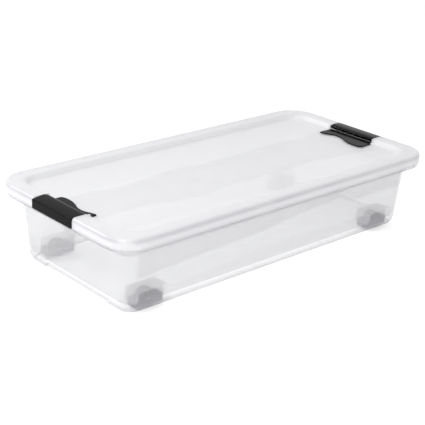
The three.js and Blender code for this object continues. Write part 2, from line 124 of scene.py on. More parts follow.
# Clip bay and wheel wells, in millimetres. A cutting block goes PAST the face that it cuts, and
# the WELL sizes say where the tub's plastic is left thin.
STUB_LENGTH = 3.4
STUB_ROOM = 0.35
STUB_R = 2.0
CLIP_END_GAP = 1.0
BAY_WALL = 4.0
BAY_STEP = 0.15
NOTCH_GAP = 0.3
PIVOT_INSET = 3.5
PIVOT_DROP = 4.8
BARREL_R = 3.2
LUG_LENGTH = 3.0
SEAT_LAP = 4.0
BAY_BACK = 0.5
PAST = 1.0
SEAT_GAP = 0.3
CARRIER_GAP = 0.6
WELL_NEAR = 262.0
WELL_FAR = 340.0
WELL_TOP = 43.0
WELL_REACH = 46.0
WELL_SKIN = 2.6
SMOKE_LOW = 17.0
SMOKE_HIGH = 23.0
CARRIER_EDGE = 0.8

# Rollers and axle pins, in millimetres.
HUB_R = 6.0
BORE_R = 2.55
WEB_HALF = 2.5
TREAD_WALL = 3.0
TREAD_ROUND = 1.2
RIB_THICKNESS = 1.4
ROLLER_SIDES = 56
PIN_R = 2.2
PIN_CHAMFER = 0.5
PIN_SIDES = 32

# How dark and opaque each place of the tub and lid is drawn: 0 is the plainest wall. The marks
# along edges, steps, the shoulder, slope, collar, foot and base curve are painted shade; the band
# shares make darker bands.
WALL_SHARE = 0.3
STEP_SHARE = 0.6
FOOT_SHARE = 0.7
CURVE_SHARE = 0.5
COLLAR_SHARE = 0.35
UPPER_BAND_SHARE = 0.28
LOWER_BAND_SHARE = 0.1
SHOULDER_SHARE = 0.8
SLOPE_SHARE = 0.3
LID_BAND_SHARE = 0.22

# Soft lines pressed into the lid and the long walls, as (along the box, across or up) points.
LID_BACK_LINE = (
    (-352, 52), (-278, 51), (-220, 43), (-140, 52), (-78, 56), (-19, 50), (41, 44),
    (105, 51), (159, 57), (236, 53), (300, 50), (352, 57),
)
LID_FRONT_LINE = (
    (-352, -64), (-286, -57), (-235, -62), (-170, -79), (-120, -83), (-35, -76),
    (100, -73), (174, -72), (264, -79), (352, -92),
)
WALL_UPPER_LINE = (
    (-352, 68), (-269, 75), (-212, 78), (-154, 81), (-92, 83), (-29, 87), (37, 95),
    (105, 101), (148, 104), (162, 104), (178, 98), (196, 91), (254, 90), (352, 87),
)
WALL_LOWER_LINE = (
    (-352, 43), (-278, 40), (-209, 39), (-150, 42), (-88, 46), (-24, 50), (29, 51),
    (113, 48), (179, 44), (260, 41), (352, 40),
)
LINE_WIDTH = 5.0
LINE_END = 332.0
LINE_FADE = 14.0
PANEL_FADE = 6.0

# Names of node kinds that are used often, and the numbers of a Mix node's colour sockets.
MATH = "ShaderNodeMath"
MAP_RANGE = "ShaderNodeMapRange"
FIRST_COLOUR, SECOND_COLOUR, MIXED_COLOUR = 6, 7, 2


# ---------- colours, nodes and materials ----------


def linear(hex_colour):
    """Linear colour of an sRGB hex value."""
    shares = [int(hex_colour[i : i + 2], 16) / 255 for i in (1, 3, 5)]
    return [v / 12.92 if v <= 0.04045 else ((v + 0.055) / 1.055) ** 2.4 for v in shares]


def set_inputs(tree, node, inputs):
    """Gives a node's inputs values or links; a node as a value stands for its first output."""
    for key, value in inputs.items():
        if isinstance(value, bpy.types.Node):
            value = value.outputs[0]
        if isinstance(value, bpy.types.NodeSocket):
            tree.links.new(value, node.inputs[key])
        else:
            node.inputs[key].default_value = value


def add_node(tree, kind, inputs=None, **settings):
    """Adds a node with its settings and with the values and links of its inputs."""
    node = tree.nodes.new(kind)
    for name, value in settings.items():
        setattr(node, name, value)
    set_inputs(tree, node, inputs or {})
    return node


def new_material(name):
    """An empty node material with its output and shader in place."""
    material = bpy.data.materials.new(name)
    material.use_nodes = True
    tree = material.node_tree
    tree.nodes.clear()
    shader = add_node(tree, "ShaderNodeBsdfPrincipled")
    add_node(tree, "ShaderNodeOutputMaterial", {"Surface": shader})
    coords = add_node(tree, "ShaderNodeTexCoord").outputs["Object"]
    return material, tree, shader, coords


def blotches(tree, coords, size_mm, detail=2.0):
    """Soft noise whose blotches are about size_mm across, spread to 0..1."""
    grain = {"Vector": coords, "Scale": 1 / (size_mm * MM), "Detail": detail}
    noise = add_node(tree, "ShaderNodeTexNoise", grain)
    return add_node(tree, MAP_RANGE, {"Value": noise, "From Min": 0.2, "From Max": 0.8})


def orange_peel(tree, coords, size_mm, strength):
    """The slight waviness of a moulded skin, 0.1 mm deep at full strength."""
    grain = {"Vector": coords, "Scale": 1 / (size_mm * MM), "Detail": 1.0}
    noise = add_node(tree, "ShaderNodeTexNoise", grain)
    relief = {"Height": noise, "Strength": strength, "Distance": 0.1 * MM}
    return add_node(tree, "ShaderNodeBump", relief)


def vary(tree, shader, share, colours, roughnesses):
    """Lets a pattern move a surface between two colours and between two roughnesses."""
    first, second = colours
    pair = {0: share, FIRST_COLOUR: (*first, 1.0), SECOND_COLOUR: (*second, 1.0)}
    tint = add_node(tree, "ShaderNodeMix", pair, data_type="RGBA").outputs[MIXED_COLOUR]
    low, high = roughnesses
    rough = add_node(tree, MAP_RANGE, {"Value": share, "To Min": low, "To Max": high})
    set_inputs(tree, shader, {"Base Color": tint, "Roughness": rough})


def moulded_polypropylene(name, colour, shaded, thin_alpha, shaded_alpha, roughness):
    """Injection-moulded polypropylene: see-through and hazy, with painted shade in its colour.

    The eye gets a milky wall with a soft gloss, clouded a little by the flow of the melt, that
    turns greyer, as painted shade, along edges, steps and the lid's shoulder and slope, and where it
    is seen edge on; darker bands are drawn the same way. A stored attribute says where these lie.
    """
    material, tree, shader, coords = new_material(name)
    stored = add_node(tree, "ShaderNodeAttribute", attribute_name="tone_and_painted_shade").outputs["Fac"]
    # Painted shade: the colour turns greyer and the wall less clear where the stored marks say, and
    # where the surface is seen edge on.
    facing = add_node(tree, "ShaderNodeLayerWeight", {"Blend": 0.35}).outputs["Facing"]
    edge = add_node(tree, MATH, {0: facing, 1: 3.0}, operation="POWER")
    rim = add_node(tree, MATH, {0: edge, 1: 0.6}, operation="MULTIPLY")
    shade_share = add_node(tree, MATH, {0: stored, 1: rim}, operation="ADD", use_clamp=True)
    shade_pair = {0: shade_share, FIRST_COLOUR: (*colour, 1.0), SECOND_COLOUR: (*shaded, 1.0)}
    shade = add_node(tree, "ShaderNodeMix", shade_pair, data_type="RGBA").outputs[MIXED_COLOUR]
    haze = blotches(tree, coords, 70)
    flow = add_node(tree, MAP_RANGE, {"Value": haze, "To Max": 0.5})
    darker = [0.97 * v for v in colour]
    clouded = {0: flow, FIRST_COLOUR: shade, SECOND_COLOUR: (*darker, 1.0)}
    cloudy = add_node(tree, "ShaderNodeMix", clouded, data_type="RGBA").outputs[MIXED_COLOUR]
    clearness = {"Value": shade_share, "To Min": thin_alpha, "To Max": shaded_alpha}
    gloss = {"Value": haze, "To Min": roughness - 0.03, "To Max": roughness + 0.04}
    finish = {
        "Base Color": cloudy,
        "Alpha": add_node(tree, MAP_RANGE, clearness),
        "Roughness": add_node(tree, MAP_RANGE, gloss),
        "Normal": orange_peel(tree, coords, 4, 0.12),
        "IOR": 1.49,
    }
    set_inputs(tree, shader, finish)
    return material


def moulded_black(name, colour):
    """Injection-moulded ABS in black: a glossy, slightly wavy skin with soft highlights."""
    material, tree, shader, coords = new_material(name)
    lighter = [min(1.0, 1.6 * v) for v in colour]
    vary(tree, shader, blotches(tree, coords, 12), (colour, lighter), (0.12, 0.2))
    peel = orange_peel(tree, coords, 3, 0.1)
    set_inputs(tree, shader, {"Normal": peel, "IOR": 1.53, "Specular IOR Level": 0.05})
    return material


def moulded_satin(name, colour, grain_mm):
    """Injection-moulded nylon or acetal: a satin skin with a fine eroded grain."""
    material, tree, shader, coords = new_material(name)
    lighter = [min(1.0, 1.35 * v) for v in colour]
    vary(tree, shader, blotches(tree, coords, 9), (colour, lighter), (0.42, 0.55))
    peel = orange_peel(tree, coords, grain_mm, 0.25)
    set_inputs(tree, shader, {"Normal": peel, "IOR": 1.53})
    return material


def moulded_smoked(name, colour):
    """Smoked polypropylene: a dark skirt round the roller that fades out in its thin roof."""
    material, tree, shader, coords = new_material(name)
    darker = [0.6 * v for v in colour]
    vary(tree, shader, blotches(tree, coords, 9), (darker, colour), (0.15, 0.3))
    height = add_node(tree, "ShaderNodeSeparateXYZ", {0: coords}).outputs["Z"]
    fade = {
        "Value": height,
        "From Min": SMOKE_LOW * MM,
        "From Max": SMOKE_HIGH * MM,
        "To Min": 0.9,
        "To Max": 0.03,
    }
    peel = orange_peel(tree, coords, 1.2, 0.2)
    set_inputs(tree, shader, {"Alpha": add_node(tree, MAP_RANGE, fade), "Normal": peel, "IOR": 1.49})
    return material


def drawn_steel(name, colour):
    """Drawn steel wire: bright, with fine lines along the pin, which lies along Y."""
    material, tree, shader, coords = new_material(name)
    stretch = add_node(tree, "ShaderNodeMapping", {"Vector": coords, "Scale": (1.0, 0.04, 1.0)})
    lines = blotches(tree, stretch.outputs["Vector"], 0.4, 3.0)
    darker = [0.8 * v for v in colour]
    vary(tree, shader, lines, (darker, colour), (0.2, 0.38))
    shader.inputs["Metallic"].default_value = 1.0
    return material


# ---------- meshes ----------


def new_object(name, mesh):
    """Links a mesh as an object at the origin."""
    made = bpy.data.objects.new(name, mesh)
    bpy.context.scene.collection.objects.link(made)
    return made


def evaluated_mesh(holder):
    """The plain mesh that an object's modifiers give; the object and its mesh are then removed."""
    bpy.context.view_layer.update()
    graph = bpy.context.evaluated_depsgraph_get()
    made = bpy.data.meshes.new_from_object(holder.evaluated_get(graph))
    source = holder.data
    bpy.data.objects.remove(holder)
    bpy.data.meshes.remove(source)
    return made


def mesh_points(mesh):
    """Vertex places of a mesh, in millimetres."""
    flat = np.empty(len(mesh.vertices) * 3, np.float32)
    mesh.vertices.foreach_get("co", flat)
    return flat.reshape(-1, 3).astype(float) / MM


def place_points(mesh, points):
    """Writes vertex places, given in millimetres."""
    mesh.vertices.foreach_set("co", (points * MM).astype(np.float32).ravel())
    mesh.update()


def face_outwards(mesh):
    """Turns the faces of a closed mesh outwards, by the sign of its volume."""
    work = bmesh.new()
    work.from_mesh(mesh)
    if work.calc_volume(signed=True) < 0:
        bmesh.ops.reverse_faces(work, faces=work.faces)
    work.to_mesh(mesh)
    work.free()


def finish_piece(name, mesh, material, body, slot, *nodes, sharp=34):
    """Names a mesh as a piece with its material and body, and hides the nodes that it stands for.

    Edges that turn by more than sharp degrees stay sharp; 0 keeps the shading that it has.
    The slot argument is not used.
    """
    mesh.name = name
    mesh.materials.clear()
    mesh.materials.append(material)
    if sharp:
        mesh.shade_smooth()
        mesh.set_sharp_from_angle(angle=math.radians(sharp))
    piece = new_object(name, mesh)
    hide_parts(*nodes)
    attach(piece, body)
    return piece


def pass_light(piece):
    """Lets light through a milky wall unweakened, because it scatters what it doesn't let past."""
    piece.visible_shadow = False
    piece.visible_diffuse = False


def block(work, low, high, edge=0.0, steps=3):
    """Adds a block between two corners, in millimetres, with its edges rounded."""
    low, high = np.array(low, float), np.array(high, float)
    place = Matrix.Translation(Vector((low + high) / 2)) @ Matrix.Diagonal((*(high - low), 1.0))
    made = bmesh.ops.create_cube(work, size=1.0, matrix=place)
    if edge:
        edges = {e for v in made["verts"] for e in v.link_edges}
        bmesh.ops.bevel(
            work, geom=list(edges), offset=edge, segments=steps, profile=0.5, affect="EDGES"
        )


def rod(work, radius, low_y, high_y, x, z, sides=32):
    """Adds a rod along Y, in millimetres."""
    place = Matrix.Translation((x, (low_y + high_y) / 2, z)) @ Matrix.Rotation(math.pi / 2, 4, "X")
    bmesh.ops.create_cone(
        work, cap_ends=True, segments=sides, radius1=radius, radius2=radius,
        depth=high_y - low_y, matrix=place,
    )


def scaled_mesh(name, work):
    """Turns work in millimetres into a mesh in metres."""
    bmesh.ops.scale(work, vec=(MM, MM, MM), verts=work.verts)
    mesh = bpy.data.meshes.new(name)
    work.to_mesh(mesh)
    work.free()
    return mesh


def combined(mesh, tool, operation):
    """A mesh joined with, or cut by, another; both are used up."""
    holder = new_object("body_being_cut", mesh)
    cutter = new_object("cutting_body", tool)
    cut = holder.modifiers.new("Cut", "BOOLEAN")
    cut.operation = operation
    cut.solver = "MANIFOLD"
    cut.object = cutter
    before = len(mesh.vertices)
    made = evaluated_mesh(holder)
    bpy.data.objects.remove(cutter)
    bpy.data.meshes.remove(tool)
    if len(made.vertices) == before:
        raise RuntimeError(f"{operation} changed nothing")
    return made


def turned(low, high, end):
    """The two corners of a block given for the +X end, turned half round for the -X end."""
    if end == "right":
        return low, high
    return (-high[0], -high[1], low[2]), (-low[0], -low[1], high[2])


# ---------- a section run round a rounded rectangle ----------


def bend(start, end, steps, hollow=False):
    """Rings along a quarter curve from one ring to another; hollow gives the other bend."""
    rings = []
    for i in range(steps + 1):
        angle = math.pi / 2 * i / steps
        across = 1 - math.cos(angle) if hollow else math.sin(angle)
        along = math.sin(angle) if hollow else 1 - math.cos(angle)
        rings.append((
            start[0] + (end[0] - start[0]) * across,
            start[1] + (end[1] - start[1]) * along,
            start[2] + (end[2] - start[2]) * across,
        ))
    return rings


def softened(rings, size=EDGE_ROUND, steps=3):
    """Rounds each sharp turn of a section over about size."""
    rings = [np.array(r, float) for r in rings]
    made = [rings[0]]
    for before, here, after in zip(rings, rings[1:], rings[2:]):
        way_in, way_out = here - before, after - here
        reach_in, reach_out = np.linalg.norm(way_in[:2]), np.linalg.norm(way_out[:2])
        turn = np.dot(way_in[:2], way_out[:2]) / (reach_in * reach_out)
        if turn > math.cos(math.radians(28)):
            made.append(here)
            continue
        start = here - way_in * min(size, 0.4 * reach_in) / reach_in
        end = here + way_out * min(size, 0.4 * reach_out) / reach_out
        for i in range(steps + 1):
            t = i / steps
            made.append((1 - t) ** 2 * start + 2 * t * (1 - t) * here + t * t * end)
    made.append(rings[-1])
    return made


def spaced(rings, step):
    """Adds rings so that no two lie further than step apart."""
    made = [np.array(rings[0], float)]
    for before, after in zip(rings, rings[1:]):
        before, after = np.array(before, float), np.array(after, float)
        count = max(1, math.ceil(np.linalg.norm((after - before)[:2]) / step))
        made.extend(before + (after - before) * i / count for i in range(1, count + 1))
    return made


def section_mesh(name, rings):
    """A section as a line of points: inset along X, corner radius along Y, height along Z."""
    points = [(r[0] * MM, max(r[2], 0.0) * MM, r[1] * MM) for r in rings]
    mesh = bpy.data.meshes.new(name)
    mesh.from_pydata(points, [(i, i + 1) for i in range(len(points) - 1)], [])
    return mesh


def shell_tree():
    """Geometry Nodes: runs a section round a rounded rectangle and closes it at the middle.

    The outline has four straight sides and four corners. Each grid vertex reads its ring from the
    section by its column, and its place on the outline by its row; half the rows are worked out
    and the other half are those turned half round.
    """
    tree = bpy.data.node_groups.new("Section round the box", "GeometryNodeTree")
    face = tree.interface
    face.new_socket("Section", in_out="INPUT", socket_type="NodeSocketGeometry")
    for name in ("Length", "Width", "Weld distance"):
        face.new_socket(name, in_out="INPUT", socket_type="NodeSocketFloat")
    for name in ("Long steps", "Short steps", "Corner steps"):
        face.new_socket(name, in_out="INPUT", socket_type="NodeSocketInt")
    face.new_socket("Material", in_out="INPUT", socket_type="NodeSocketMaterial")
    face.new_socket("Shell", in_out="OUTPUT", socket_type="NodeSocketGeometry")
    given = add_node(tree, "NodeGroupInput").outputs

    long, short, corner = (given[name] for name in ("Long steps", "Short steps", "Corner steps"))
    count = add_node(
        tree, "GeometryNodeAttributeDomainSize", {"Geometry": given["Section"]}, component="MESH"
    ).outputs["Point Count"]
    corner_1 = add_node(tree, MATH, {0: long, 1: corner}, operation="ADD")
    side_2 = add_node(tree, MATH, {0: corner_1, 1: short}, operation="ADD")
    half = add_node(tree, MATH, {0: side_2, 1: corner}, operation="ADD")
    around = add_node(tree, MATH, {0: half, 1: 2.0, 2: 1.0}, operation="MULTIPLY_ADD")
    grid = add_node(tree, "GeometryNodeMeshGrid", {"Vertices X": around, "Vertices Y": count})

    index = add_node(tree, "GeometryNodeInputIndex")
    share = add_node(tree, MATH, {0: index, 1: count}, operation="DIVIDE")
    row = add_node(tree, MATH, {0: share}, operation="FLOOR")
    before = add_node(tree, MATH, {0: row, 1: count}, operation="MULTIPLY")
    column = add_node(tree, MATH, {0: index, 1: before}, operation="SUBTRACT")
    halves = add_node(tree, MATH, {0: row, 1: half}, operation="DIVIDE")
    turns = add_node(tree, MATH, {0: halves}, operation="FLOOR")
    passed = add_node(tree, MATH, {0: turns, 1: half}, operation="MULTIPLY")
    step = add_node(tree, MATH, {0: row, 1: passed}, operation="SUBTRACT")
    odd = add_node(tree, MATH, {0: turns, 1: 2.0}, operation="MODULO")
    sign = add_node(tree, MATH, {0: odd, 1: -2.0, 2: 1.0}, operation="MULTIPLY_ADD")

    ramps = []
    for start, stop, low, high in (
        (0.0, long, -1.0, 1.0),
        (corner_1, side_2, -1.0, 1.0),
        (long, corner_1, -math.pi / 2, 0.0),
        (side_2, half, 0.0, math.pi / 2),
    ):
        limits = {"From Min": start, "From Max": stop, "To Min": low, "To Max": high}
        ramps.append(add_node(tree, MAP_RANGE, {"Value": step, **limits}))
    along, across, first_turn, second_turn = ramps
    angle = add_node(tree, MATH, {0: first_turn, 1: second_turn}, operation="ADD")

    position = add_node(tree, "GeometryNodeInputPosition")
    sample = {"Geometry": given["Section"], "Value": position, "Index": column}
    ring = add_node(tree, "GeometryNodeSampleIndex", sample, data_type="FLOAT_VECTOR")
    parts = add_node(tree, "ShaderNodeSeparateXYZ", {0: ring.outputs["Value"]}).outputs
    inset, radius, height = parts["X"], parts["Y"], parts["Z"]
    taken = add_node(tree, MATH, {0: inset, 1: radius}, operation="ADD")
    axes = []
    for size, side, wave in ((given["Length"], along, "COSINE"), (given["Width"], across, "SINE")):
        middle = add_node(tree, MATH, {0: size, 1: 0.5}, operation="MULTIPLY")
        reach = add_node(tree, MATH, {0: middle, 1: taken}, operation="SUBTRACT")
        turn = add_node(tree, MATH, {0: angle}, operation=wave)
        curve = add_node(tree, MATH, {0: radius, 1: turn}, operation="MULTIPLY")
        place = add_node(tree, MATH, {0: reach, 1: side, 2: curve}, operation="MULTIPLY_ADD")
        axes.append(add_node(tree, MATH, {0: sign, 1: place}, operation="MULTIPLY"))

    place = add_node(tree, "ShaderNodeCombineXYZ", {"X": axes[0], "Y": axes[1], "Z": height})
    shaped = add_node(tree, "GeometryNodeSetPosition", {"Geometry": grid, "Position": place})
    weld = {"Geometry": shaped, "Distance": given["Weld distance"]}
    welded = add_node(tree, "GeometryNodeMergeByDistance", weld)
    real = add_node(tree, "GeometryNodeRealizeInstances", {0: welded})
    dress = {"Geometry": real, "Material": given["Material"]}
    add_node(tree, "NodeGroupOutput", {0: add_node(tree, "GeometryNodeSetMaterial", dress)})
    return tree


def run_tree(tree, mesh, values):
    """The plain mesh that a Geometry Nodes tree makes of a mesh, with its inputs set by name."""
    holder = new_object("tree_input", mesh)
    modifier = holder.modifiers.new("Shape", "NODES")
    modifier.node_group = tree
    for item in tree.interface.items_tree:
        if item.in_out == "INPUT" and item.name in values:
            modifier[item.identifier] = values[item.name]
    return evaluated_mesh(holder)


def shell(name, rings, sizes, material):
    """A closed moulded shell from a section's rings."""
    values = {
        "Length": sizes.lid_length,
        "Width": sizes.lid_width,
        "Weld distance": 0.01 * MM,
        "Long steps": sizes.long_steps,
        "Short steps": sizes.short_steps,
        "Corner steps": sizes.corner_steps,
        "Material": material,
    }
    mesh = run_tree(shell_tree(), section_mesh(name, rings), values)
    face_outwards(mesh)
    return mesh


# ---------- soft lines and dense places ----------


def smooth(value, low, high):
    """0 below low, 1 above high and a soft step between."""
    t = np.clip((value - low) / (high - low), 0, 1)
    return t * t * (3 - 2 * t)


def line_height(line, x):
    """Height of a soft line at each x, as a smooth curve through its points."""
    xs, ys = np.array(line, float).T
    slopes = np.gradient(ys, xs)
    at = np.clip(np.searchsorted(xs, x) - 1, 0, len(xs) - 2)
    run = xs[at + 1] - xs[at]
    t = np.clip((x - xs[at]) / run, 0, 1)
    start = (2 * t**3 - 3 * t**2 + 1) * ys[at] + (t**3 - 2 * t**2 + t) * run * slopes[at]
    return start + (3 * t**2 - 2 * t**3) * ys[at + 1] + (t**3 - t**2) * run * slopes[at + 1]


def line_side(line, x, value):
    """0 below a soft line and 1 above it, with a slope LINE_WIDTH wide."""
    gap = value - line_height(line, x)
    return smooth(gap, -LINE_WIDTH / 2, LINE_WIDTH / 2)


def line_fade(x):
    """1 along the straight sides and 0 past their ends."""
    return 1 - smooth(np.abs(x), LINE_END, LINE_END + LINE_FADE)


def lid_band(points):
    """1 in the lowered band along the middle of the lid's panel."""
    x, y = points[:, 0], points[:, 1]
    return line_side(LID_FRONT_LINE, x, y) * (1 - line_side(LID_BACK_LINE, x, y))


def wall_bands(points):
    """How far the upper and the lower band of each long wall apply at each point."""
    sign = np.sign(points[:, 1])
    along = -sign * points[:, 0]
    upper = line_side(WALL_UPPER_LINE, along, points[:, 2])
    lower = 1 - line_side(WALL_LOWER_LINE, along, points[:, 2])
    return upper, lower


def write_tone_and_shade(mesh, values):
    """Stores each vertex's tone and painted shade, for the material."""
    layer = mesh.attributes.new("tone_and_painted_shade", "FLOAT", "POINT")
    layer.data.foreach_set("value", np.clip(values, 0, 1).astype(np.float32))


def pulse(value, centre, half):
    """1 at centre, falling to 0 at half away."""
    return 1 - smooth(np.abs(value - centre), 0, half)


def outline_inset(points):
    """How far each point lies in from the lid's outline, along the nearer axis."""
    return np.minimum(HALF_LENGTH - np.abs(points[:, 0]), HALF_WIDTH - np.abs(points[:, 1]))


# ---------- the box's pieces ----------


def lid_rings(sizes):
    """The lid's section, from the middle of its top round to the middle of its underside."""
    wall = sizes.lid_wall / MM
    panel = RIM_TOP - sizes.recess / MM
    slope_z = RIM_TOP - sizes.recess / MM / 2
    mid = (RIM_WIDTH + SLOPE_RUN / 2, slope_z, (RIM_CORNER + PANEL_CORNER) / 2)
    under_top = RIM_TOP - wall
    shift = wall * SLOPE_LEAN
    drop = wall * math.sqrt(1 - SLOPE_LEAN**2)
    shoulder_in = (SHOULDER, RIM_TOP, LID_CORNER - SHOULDER)
    shoulder_out = (0, RIM_TOP - SHOULDER, LID_CORNER)
    under_out = (wall, RIM_TOP - SHOULDER, LID_CORNER - wall)
    under_in = (SHOULDER, under_top, LID_CORNER - SHOULDER)
    rings = [
        (HALF_WIDTH, panel, 0.0),
        *bend((PANEL_INSET, panel, PANEL_CORNER), mid, 6),
        *bend(mid, (RIM_WIDTH, RIM_TOP, RIM_CORNER), 6, hollow=True)[1:],
        *bend(shoulder_in, shoulder_out, 8),
        (0, SKIRT_BOTTOM, LID_CORNER),
        (wall, SKIRT_BOTTOM, LID_CORNER - wall),
        *bend(under_out, under_in, 5, hollow=True),
        (RIM_WIDTH - shift, under_top, RIM_CORNER),
        (mid[0] - shift, mid[1] - drop, mid[2]),
        (PANEL_INSET - shift, panel - wall, PANEL_CORNER),
        (HALF_WIDTH, panel - wall, 0.0),
    ]
    return spaced(softened(rings), 5.0)


def bay_places():
    """Sizes of the clip bay at the +X end, read from the right clip."""
    low, high = box_mm("clip_right")
    centre = (low[1] + high[1]) / 2
    half = (high[1] - low[1]) / 2 - STUB_LENGTH + CLIP_END_GAP
    pivot = low[0] + PIVOT_INSET
    return float(centre), float(half), float(pivot)


def make_lid(sizes, material):
    """The lid: its section, the soft band of its panel, and a bay for the clip at each end."""
    mesh = shell("lid_shell", lid_rings(sizes), sizes, material)
    points = mesh_points(mesh)
    panel = RIM_TOP - sizes.recess / MM
    inside = smooth(outline_inset(points), PANEL_INSET, PANEL_INSET + PANEL_FADE)
    points[:, 2] -= sizes.band_depth / MM * lid_band(points) * inside * line_fade(points[:, 0])
    place_points(mesh, points)
    wall = sizes.lid_wall / MM
    centre, half, pivot = bay_places()
    outer = HALF_LENGTH - FLANGE_INSET
    inner = HALF_LENGTH - PANEL_INSET + BAY_BACK
    floor_low, floor_high = panel - wall + BAY_STEP, panel - BAY_STEP
    out = half + BAY_WALL
    lug_in = pivot - BARREL_R - LUG_LENGTH
    added, cut = bmesh.new(), bmesh.new()
    for end in ENDS:
        low, high = centre - out, centre + out
        seat = (inner - SEAT_LAP, low, floor_low), (outer, high, floor_high)
        block(added, *turned(*seat, end))
        walls = (
            (lug_in, low, floor_low + BAY_STEP),
            (HALF_LENGTH - SHOULDER, high, RIM_TOP - wall / 2),
        )
        block(added, *turned(*walls, end), edge=0.3, steps=2)
    for end in ENDS:
        low, high = centre - half, centre + half
        bay = (inner, low, panel + BAY_STEP), (HALF_LENGTH + PAST, high, RIM_TOP + PAST)
        block(cut, *turned(*bay, end), edge=0.4, steps=2)
        mouth = (outer, low, SKIRT_BOTTOM - PAST), (HALF_LENGTH + PAST, high, panel + 2 * PAST)
        block(cut, *turned(*mouth, end))
        sign = 1 if end == "right" else -1
        reach = half + STUB_LENGTH - CLIP_END_GAP + STUB_ROOM
        rod(
            cut, STUB_R + STUB_ROOM, sign * centre - reach, sign * centre + reach,
            sign * pivot, RIM_TOP - PIVOT_DROP,
        )
    mesh = joined_and_cut(mesh, added, cut)
    points = mesh_points(mesh)
    inset = outline_inset(points)
    # Painted shade: darker, less clear lines along the skirt's lower edge, over the shoulder and along
    # the panel's slope; the middle band is drawn darker too.
    skirt = pulse(points[:, 2], SKIRT_BOTTOM, EDGE_SHADE_HALF) * (inset < 4)
    shoulder = pulse(points[:, 2], RIM_TOP - 5, 7) * (1 - smooth(inset, 6, 16))
    slope = SLOPE_SHARE * pulse(inset, PANEL_INSET - 3, 7)
    band = lid_band(points) * smooth(inset, PANEL_INSET, PANEL_INSET + PANEL_FADE)
    marks = [skirt, SHOULDER_SHARE * shoulder, slope, LID_BAND_SHARE * band]
    write_tone_and_shade(mesh, np.maximum.reduce(marks))
    return mesh


def joined_and_cut(mesh, added, cut):
    """Adds one set of bodies to a mesh and then takes another set away, one after the other."""
    for work, operation in ((added, "UNION"), (cut, "DIFFERENCE")):
        for group in separate_bodies(work):
            mesh = combined(mesh, group, operation)
    return mesh


def separate_bodies(work):
    """The separate bodies in work, each a mesh in metres."""
    left = set(work.verts)
    work.verts.ensure_lookup_table()
    made = []
    while left:
        first = next(v for v in work.verts if v in left)
        group, todo = {first}, [first]
        while todo:
            here = todo.pop()
            for edge in here.link_edges:
                other = edge.other_vert(here)
                if other not in group:
                    group.add(other)
                    todo.append(other)
        left -= group
        numbers = {v: i for i, v in enumerate(v for v in work.verts if v in group)}
        mesh = bpy.data.meshes.new("body")
        faces = [[numbers[v] for v in f.verts] for f in work.faces if f.verts[0] in group]
        mesh.from_pydata([tuple(v.co * MM) for v in numbers], [], faces)
        face_outwards(mesh)
        made.append(mesh)
    work.free()
    return made


def tub_rings(sizes):
    """The tub's section, from the middle of its underside round to the middle of its floor."""
    wall = sizes.tub_wall / MM
    flange_r = LID_CORNER - FLANGE_INSET
    lip = FLANGE_INSET + wall
    collar_r = LID_CORNER - COLLAR_INSET
    inner_r = BODY_CORNER - wall
    mouth = COLLAR_INSET + wall
    bulge = SHOULDER - FLANGE_INSET
    foot_in = FOOT_INSET + FOOT_RIM_WIDTH
    foot_in_r = FOOT_CORNER - FOOT_RIM_WIDTH
    low_in = LOW_INSET + wall
    floor = FLOOR_UNDER + wall
    foot_out = (FOOT_INSET, FOOT_Z, FOOT_CORNER)
    curve_top = (LOW_INSET, BASE_CURVE_TOP, BODY_CORNER)
    bead_out = (FLANGE_INSET, FLANGE_TOP - bulge, flange_r)
    bead_in = (FLANGE_INSET + bulge, FLANGE_TOP, flange_r - bulge)
    mouth_out = (mouth - MOUTH_ROUND, FLANGE_TOP, collar_r)
    mouth_in = (mouth, FLANGE_TOP - MOUTH_ROUND, collar_r - wall)
    fillet_top = (low_in, BASE_CURVE_TOP, inner_r)
    fillet_foot = (low_in + FLOOR_FILLET, floor, inner_r - FLOOR_FILLET / 8)
    outside = [
        (HALF_WIDTH, FLOOR_UNDER, 0.0),
        (foot_in + FOOT_RIM_LEAN, FLOOR_UNDER, foot_in_r - FOOT_RIM_LEAN),
        (foot_in, FOOT_Z, foot_in_r),
        *bend(foot_out, curve_top, 10),
        (WALL_INSET, COLLAR_BOTTOM, BODY_CORNER),
        (COLLAR_INSET + 0.4, COLLAR_BOTTOM + COLLAR_STEP, collar_r),
        (COLLAR_INSET, FLANGE_TOP - wall, collar_r),
        (lip, FLANGE_TOP - wall, LID_CORNER - lip),
        (lip, FLANGE_BOTTOM, LID_CORNER - lip),
        (FLANGE_INSET, FLANGE_BOTTOM, flange_r),
        *bend(bead_out, bead_in, 6, hollow=True),
        *bend(mouth_out, mouth_in, 4),
        (mouth + 0.4, COLLAR_BOTTOM + COLLAR_STEP + 1, collar_r - wall),
        (WALL_INSET + wall, COLLAR_BOTTOM + 1, inner_r),
        *bend(fillet_top, fillet_foot, 8, hollow=True),
        (HALF_WIDTH, floor, 0.0),
    ]
    return spaced(softened(outside), 4.8)


